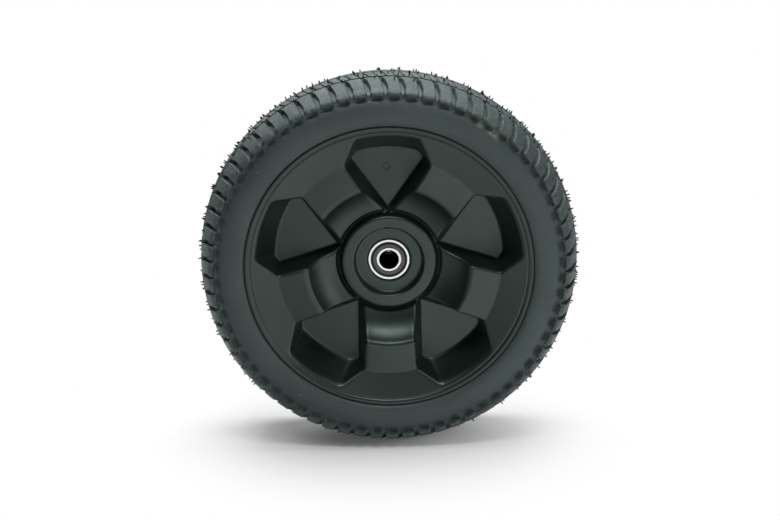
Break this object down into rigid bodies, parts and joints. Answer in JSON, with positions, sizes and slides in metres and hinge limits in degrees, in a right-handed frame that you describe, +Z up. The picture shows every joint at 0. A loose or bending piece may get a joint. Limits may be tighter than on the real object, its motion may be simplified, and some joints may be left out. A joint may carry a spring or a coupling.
{
  "type": "lawn mower wheel",
  "caption": "Lawn mower wheel: treaded rubber tyre on a black dished, spoked plastic rim, turning on sealed ball bearings with a plain axle bore.",
  "frame": {"origin": "centre of the wheel, on the axle line at the middle of the tyre's width", "axes": "+Y along the axle from the dished face to the machine side, +Z up with a pocket at the top, one spoke straight down"},
  "size_m": [0.254, 0.0714, 0.254],
  "materials": {
    "tyre_rubber": "matte moulded rubber",
    "rim_plastic": "satin moulded plastic",
    "bearing_steel": "ground",
    "ball_steel": "polished",
    "cage_steel": "pressed",
    "seal_rubber": "matte",
    "spacer_steel": "turned"
  },
  "bodies": {
    "axle_set": {"front_inner_ring": "bearing_steel", "rear_inner_ring": "bearing_steel", "bearing_spacer": "spacer_steel"},
    "wheel": {"tyre": "tyre_rubber", "rim": "rim_plastic", "front_outer_ring": "bearing_steel", "front_outer_seal": "seal_rubber", "front_inner_seal": "seal_rubber", "rear_outer_ring": "bearing_steel", "rear_outer_seal": "seal_rubber", "rear_inner_seal": "seal_rubber"},
    "front_ball_set": {"front_balls": "ball_steel", "front_cage_outer_half": "cage_steel", "front_cage_inner_half": "cage_steel", "front_cage_rivets": "cage_steel"},
    "rear_ball_set": {"rear_balls": "ball_steel", "rear_cage_outer_half": "cage_steel", "rear_cage_inner_half": "cage_steel", "rear_cage_rivets": "cage_steel"}
  },
  "joints": [
    {"name": "wheel_spin", "type": "hinge", "parent": "axle_set", "child": "wheel", "pos_m": [0, 0, 0], "axis": [0, 1, 0], "continuous": true},
    {"name": "front_ball_set_spin", "type": "hinge", "parent": "axle_set", "child": "front_ball_set", "pos_m": [0, -0.003, 0], "axis": [0, 1, 0], "continuous": true},
    {"name": "rear_ball_set_spin", "type": "hinge", "parent": "axle_set", "child": "rear_ball_set", "pos_m": [0, 0.031, 0], "axis": [0, 1, 0], "continuous": true}
  ],
  "couplings": [
    {"joint": "front_ball_set_spin", "follows": "wheel_spin", "ratio": 0.61905},
    {"joint": "rear_ball_set_spin", "follows": "wheel_spin", "ratio": 0.61905}
  ]
}
